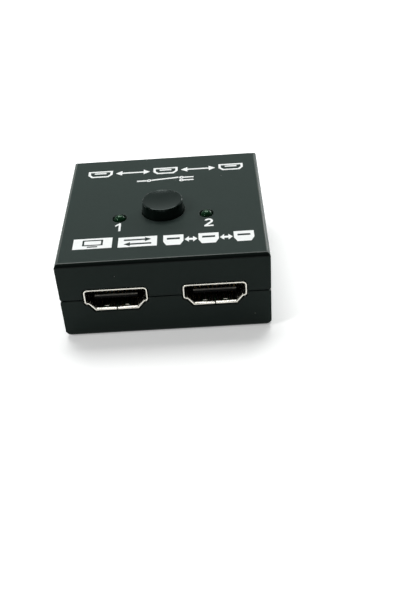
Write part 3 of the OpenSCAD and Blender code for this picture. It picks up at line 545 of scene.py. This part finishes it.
def polish_button():
    gloss = Finish("polished_black", Specular_IOR_Level=0.36, Specular_Tint=BUTTON_GLOSS)
    gloss.colour(gloss.blend(gloss.limits(gloss.noise(2.0, 3.0), 0.0, 1.0), *shades(BUTTON_BLACK, 0.2)))
    gloss.roughness(gloss.limits(gloss.noise(1.1, 4.0), 0.07, 0.13))
    gloss.relief(gloss.noise(0.9, 2.0), 0.0015, 0.5)
    return gloss.material


dress(polish_button(), "button_cap")
print("button: polished black")

# %% [markdown]
# ## The lamps
# A small lamp is a lens of tinted clear resin cast round two pieces of lead frame:
# a post, and an anvil with a cup that holds the crystal. Unlit, the lens looks almost
# black green, and what sparkles in it is the metal inside. A green paint could not
# do that, so the lens is made clear and the lead frame is modelled in it.

# %% Lamp lenses and lead frames
LENS_GREEN = rgb(0.009, 0.058, 0.021)
RESIN_GLOSS = rgb(0.30, 0.52, 0.36)
FRAME_HALF_T = 0.22
POST_OUTLINE = [(-1.49, 0.0), (-1.05, 0.0), (-1.05, 1.1), (-0.42, 1.7), (-0.42, 2.75),
                (-0.95, 2.75), (-1.49, 1.9)]
ANVIL_OUTLINE = [(1.05, 0.0), (1.49, 0.0), (1.49, 1.5), (1.0, 2.1), (1.0, 2.6), (0.62, 2.3),
                 (0.18, 2.3), (-0.2, 2.6), (-0.2, 1.75), (1.05, 0.95)]


def make_piece(name, made):
    """A new piece from a finished bmesh, with its faces turned outwards."""
    bmesh.ops.recalc_face_normals(made, faces=made.faces)
    mesh = bpy.data.meshes.new(name)
    made.to_mesh(mesh)
    made.free()
    piece = bpy.data.objects.new(name, mesh)
    bpy.context.scene.collection.objects.link(piece)
    return piece


def cut_plate(name, outlines, half, place):
    """A sheet cut to outlines drawn in X and Z, of thickness 2 * half along Y."""
    made = bmesh.new()
    for outline in outlines:
        front, back = ([made.verts.new((x * MM, side * half * MM, z * MM)) for x, z in outline]
                       for side in (-1, 1))
        made.faces.new(front)
        made.faces.new(back[::-1])
        for i in range(len(outline)):
            j = (i + 1) % len(outline)
            made.faces.new((front[j], front[i], back[i], back[j]))
    bmesh.ops.triangulate(made, faces=[f for f in made.faces if len(f.verts) > 4])
    plate = make_piece(name, made)
    plate.location = place
    return plate


def cast_lens():
    resin = Finish("green_resin", Transmission_Weight=0.6, IOR=1.54, Specular_Tint=RESIN_GLOSS)
    resin.colour(resin.blend(resin.limits(resin.noise(1.2, 2.0), 0.0, 1.0), *shades(LENS_GREEN, 0.15)))
    resin.roughness(resin.limits(resin.noise(0.6, 2.0), 0.08, 0.16))
    return resin.material


bright_tin = plain_finish("bright_tin", rgb(0.72, 0.72, 0.70), 0.3, 0.8, 0.08, 0.002, Metallic=1.0)
dress(cast_lens(), "led_lens_left", "led_lens_right")
dress(bright_tin, "led_leads_left", "led_leads_right")
for side in ("left", "right"):
    low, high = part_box("led_leads_" + side)
    seat = Vector(((low.x + high.x) / 2, (low.y + high.y) / 2, high.z))
    lead_frame = cut_plate("lamp_frame_" + side, [POST_OUTLINE, ANVIL_OUTLINE], FRAME_HALF_T, seat)
    lead_frame.data.materials.append(bright_tin)
    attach(lead_frame, "case")
    print("lamp", side, "at", [round(v / MM, 2) for v in seat], "mm")

# %% [markdown]
# ## Signs for the prints
# White ink on the cover marks the lamps with plain numerals and shows what the box
# does in simple signs: sockets, two-way arrows, a screen and a changeover switch. Each
# sign is drawn as flat loops in millimetres, counter-clockwise, and a sign with holes
# is a list of loops with the outer one first. Straight signs need only their corners,
# and the one round numeral takes its bowl from two arcs.

# %% Sign outlines
def arc(x, y, radius, start, stop, steps=14):
    turns = [math.radians(start + (stop - start) * i / steps) for i in range(steps + 1)]
    return [(x + radius * math.cos(t), y + radius * math.sin(t)) for t in turns]


def block(left, bottom, right, top):
    return [(left, bottom), (right, bottom), (right, top), (left, top)]


def two_way_arrow(left, right, y, head, half_head, half_shaft):
    tips = [left, left + head, right - head, right]
    below = [(tips[0], 0), (tips[1], -half_head), (tips[1], -half_shaft),
             (tips[2], -half_shaft), (tips[2], -half_head), (tips[3], 0)]
    above = [(x, -dy) for x, dy in below[-2:0:-1]]
    return [(x, y + dy) for x, dy in below + above]


def one_way_arrow(tail, tip, y, head, half_head, half_shaft):
    neck = tip - head if tip > tail else tip + head
    return [(tail, y - half_shaft), (neck, y - half_shaft), (neck, y - half_head), (tip, y),
            (neck, y + half_head), (neck, y + half_shaft), (tail, y + half_shaft)]


def socket_sign(x, y, width, height):
    """The mouth of a socket: wide at the top, with slanted lower corners."""
    side, floor, step = width / 2, width * 0.34, height * 0.12
    return [(x - side, y + height / 2), (x - side, y - step), (x - floor, y - height / 2),
            (x + floor, y - height / 2), (x + side, y - step), (x + side, y + height / 2)]


def inset(loop, depth):
    """The loop with each side moved inwards."""
    moved = []
    for i, (x, y) in enumerate(loop):
        before = Vector((x, y)) - Vector(loop[i - 1])
        after = Vector(loop[(i + 1) % len(loop)]) - Vector((x, y))
        first, second = (Vector((-s.y, s.x)).normalized() for s in (before, after))
        moved.append(tuple(Vector((x, y)) + (first + second) * depth / (1 + first.dot(second))))
    return moved


def numeral_one(x, y):
    return [(x + dx, y + dy) for dx, dy in ((0.1, -1.68), (0.6, -1.68), (0.6, 1.68), (0.15, 1.68),
                                            (-0.8, 0.84), (-0.72, 0.34), (0.1, 0.94))]


def numeral_two(x, y):
    foot = [(-1.1, -1.7), (1.1, -1.7), (1.1, -1.14), (-0.2, -1.14)]
    bowl = arc(0.0, 0.66, 1.04, -35, 160) + arc(0.0, 0.66, 0.46, 160, -35)
    return [(x + dx, y + dy) for dx, dy in foot + bowl + [(-1.1, -1.2)]]


print("outlines: numerals of", len(numeral_one(0, 0)), "and", len(numeral_two(0, 0)), "points")

# %% [markdown]
# ## Signs from outlines
# A sign is a list of shapes, and a shape is a list of loops. The socket row at the back
# and the changeover switch under it tell what the box joins, and the three blocks along
# the front edge say it again in bold. Places are in millimetres from the middle of the
# cover, so the row of signs keeps its layout when a sign is drawn anew.

# %% Signs
def socket_ring(x, y, width, height, stroke):
    mouth = socket_sign(x, y, width, height)
    half, low = width * 0.24, y + 0.1
    tongue = block(x - half, low, x + half, low + stroke)
    return [[mouth, inset(mouth, stroke)], [tongue]]


def changeover(x, y):
    """A pole, a blade that leans to the upper of two contacts, and their leads."""
    lead, reach, rise = 0.29, 7.3, 0.7
    ends = [(-4.2, 0.0), (4.2, rise), (4.2, -rise)]
    rings = [[arc(x + dx, y + dy, 0.62, 0, 337.5, 15), arc(x + dx, y + dy, 0.22, 0, 337.5, 15)]
             for dx, dy in ends]
    leads = []
    for dx, dy in ends:
        side = math.copysign(1, dx)
        left, right = sorted((dx + 0.55 * side, side * reach))
        leads.append([block(x + left, y + dy - lead, x + right, y + dy + lead)])
    blade = [[(x - 3.5, y - 0.2), (x + 3.45, y + 0.62), (x + 3.38, y + 1.2), (x - 3.57, y + 0.38)]]
    return rings + leads + [blade]


def screen_box(left, bottom, right, top):
    x, y = (left + right) / 2, (bottom + top) / 2 + 0.3
    screen = block(x - 2.4, y - 1.2, x + 2.4, y + 1.2)
    stand = block(x - 1.2, y - 1.9, x + 1.2, y - 1.45)
    return [[block(left, bottom, right, top), screen, stand], [inset(screen, 0.45)]]


def exchange_box(left, bottom, right, top):
    y, margin, apart = (bottom + top) / 2, 1.3, 0.85
    arrow = {"head": 1.5, "half_head": 0.85, "half_shaft": 0.3}
    go = one_way_arrow(left + margin, right - margin, y + apart, **arrow)
    back = one_way_arrow(right - margin, left + margin, y - apart, **arrow)
    return [[block(left, bottom, right, top), go, back]]


def socket_chain(left, right, y, width, height):
    places = [left + width / 2, (left + right) / 2, right - width / 2]
    mouths = [[socket_sign(x, y, width, height), block(x - 1.5, y + 0.2, x + 1.5, y + 0.95)] for x in places]
    reach = (places[1] - places[0] - width) / 2 - 0.25
    arrows = [[two_way_arrow(x - reach, x + reach, y, 1.0, 1.15, 0.4)]
              for x in ((places[0] + places[1]) / 2, (places[1] + places[2]) / 2)]
    return mouths + arrows


SIGNS = {
    "print_numeral_one": [[numeral_one(-10.6, -9.97)]],
    "print_numeral_two": [[numeral_two(10.95, -10.12)]],
    "print_socket_row": [shape for x in (-16.86, 0.25, 17.36)
                         for shape in socket_ring(x, 16.55, 6.4, 3.3, 0.62)],
    "print_row_arrows": [[two_way_arrow(x - 4.5, x + 4.5, 16.55, 1.7, 1.2, 0.31)] for x in (-8.3, 8.8)],
    "print_changeover": changeover(0.27, 11.72),
    "print_screen_box": screen_box(-20.74, -18.56, -11.64, -14.25),
    "print_exchange_box": exchange_box(-10.24, -18.7, -1.19, -14.6),
    "print_socket_chain": socket_chain(0.25, 21.3, -16.8, 4.7, 4.2),
}
print("signs:", len(SIGNS), "with", sum(len(shapes) for shapes in SIGNS.values()), "shapes")

# %% [markdown]
# ## Printing the cover
# Screen printed ink is a skin a few hundredths of a millimetre thick with crisp sides.
# It could be painted into the coat's colour, but thin solids on the sheet keep the
# edges sharp at any distance and follow the model when it is exported. Blender's
# tessellation fills a loop with its holes, and the side walls follow the loops.

# %% White prints
INK_WHITE = rgb(0.88, 0.895, 0.885)
INK_PROUD = 0.02
INK_SUNK = 0.01
COVER_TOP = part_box("top_cover")[1].z


def print_sign(name, shapes, ink):
    made = bmesh.new()
    for loops in shapes:
        low, high = ([[made.verts.new((x * MM, y * MM, COVER_TOP + z * MM)) for x, y in loop]
                      for loop in loops] for z in (-INK_SUNK, INK_PROUD))
        fill = tessellate_polygon([[Vector((x, y, 0)) for x, y in loop] for loop in loops])
        for level in (low, high):
            corners = [vert for loop in level for vert in loop]
            for triangle in fill:
                made.faces.new([corners[i] for i in triangle])
        for under, over in zip(low, high):
            for i in range(len(under)):
                made.faces.new((under[i - 1], under[i], over[i], over[i - 1]))
    sign = make_piece(name, made)
    sign.data.materials.append(ink)
    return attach(sign, "case")


white_ink = plain_finish("white_ink", INK_WHITE, 0.5, 1.2, 0.03, 0.002)
for name, shapes in SIGNS.items():
    sign = print_sign(name, shapes, white_ink)
    print(name, len(shapes), "shapes,", len(sign.data.polygons), "faces")

# %% [markdown]
# ## What is inside
# The board, its posts and the small parts never show in the picture, but the part is
# also taken apart, so each piece wears what the real one is made of: green solder
# resist, turned brass, plain steel, ivory moulding and fired ceramic. None of them
# needs a new shape, and one plain recipe with its own scale and gloss does for each.

# %% Board, small parts and switch
INSIDE = {
    "solder_resist": (rgb(0.010, 0.075, 0.030), 0.28, 2.2, 0.25, 0.004, {}, ["circuit_board"]),
    "turned_brass": (rgb(0.74, 0.56, 0.26), 0.3, 0.6, 0.10, 0.003, {"Metallic": 1.0}, ["board_posts"]),
    "plain_steel": (rgb(0.58, 0.58, 0.57), 0.32, 0.7, 0.10, 0.003, {"Metallic": 1.0},
                    ["board_screws", "latch_pin"]),
    "ivory_moulding": (rgb(0.78, 0.74, 0.62), 0.45, 1.5, 0.05, 0.004, {}, ["switch_slider"]),
    "chip_black": (rgb(0.016, 0.016, 0.017), 0.55, 0.5, 0.25, 0.006, {}, ["selector_chip", "diodes"]),
    "resistor_ceramic": (rgb(0.075, 0.075, 0.085), 0.5, 0.4, 0.3, 0.004, {}, ["resistors"]),
    "capacitor_ceramic": (rgb(0.42, 0.30, 0.19), 0.5, 0.4, 0.15, 0.004, {}, ["capacitors"]),
}
for name, (colour, rough, patch, share, depth, sockets, wearers) in INSIDE.items():
    dress(plain_finish(name, colour, rough, patch, share, depth, **sockets), *wearers)
    print(name, "on", ", ".join(wearers))
dress(nickel_plate, "switch_frame")
dress(black_moulding, "switch_housing")
dress(gold_plate, "slider_contacts")
dress(bright_tin, "switch_terminals")

# %% [markdown]
# ## The return spring
# A compression spring pushes the button back up. The frame's spring is wound evenly
# from end to end. Here it is wound again to the same size, and most of its first and
# last turn lies flat, as on a real spring, so that it stands straight.

# %% Return spring
WIRE_MM = 0.3
TURNS = 6.5
FLAT_TURNS = 0.75
STEPS_PER_TURN = 28
WIRE_SIDES = 10


def wind_spring(name, low, high):
    wire = WIRE_MM * MM / 2
    centre = (low + high) / 2
    radius = (high.x - low.x) / 2 - wire
    steps = round(TURNS * STEPS_PER_TURN)
    climb_start, climb_end = FLAT_TURNS, TURNS - FLAT_TURNS
    made = bmesh.new()
    rings = []
    for i in range(steps + 1):
        turn = i / STEPS_PER_TURN
        rise = min(max((turn - climb_start) / (climb_end - climb_start), 0.0), 1.0)
        z = low.z + wire + (high.z - low.z - 2 * wire) * rise
        angle = 2 * math.pi * turn
        out = Vector((math.cos(angle), math.sin(angle), 0.0))
        spot = Vector((centre.x, centre.y, z)) + out * radius
        rings.append([made.verts.new(spot + wire * (math.cos(a) * out + math.sin(a) * Vector((0, 0, 1))))
                      for a in (2 * math.pi * k / WIRE_SIDES for k in range(WIRE_SIDES))])
    for before, after in zip(rings, rings[1:]):
        for k in range(WIRE_SIDES):
            made.faces.new((before[k - 1], before[k], after[k], after[k - 1])).smooth = True
    made.faces.new(rings[0])
    made.faces.new(rings[-1])
    return make_piece(name, made)


low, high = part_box("switch_spring")
spring = wind_spring("return_spring", low, high)
spring_steel = plain_finish("spring_steel", rgb(0.55, 0.55, 0.54), 0.25, 0.5, 0.1, 0.002, Metallic=1.0)
spring.data.materials.append(spring_steel)
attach(spring, "case")
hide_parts("switch_spring")
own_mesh(spring)
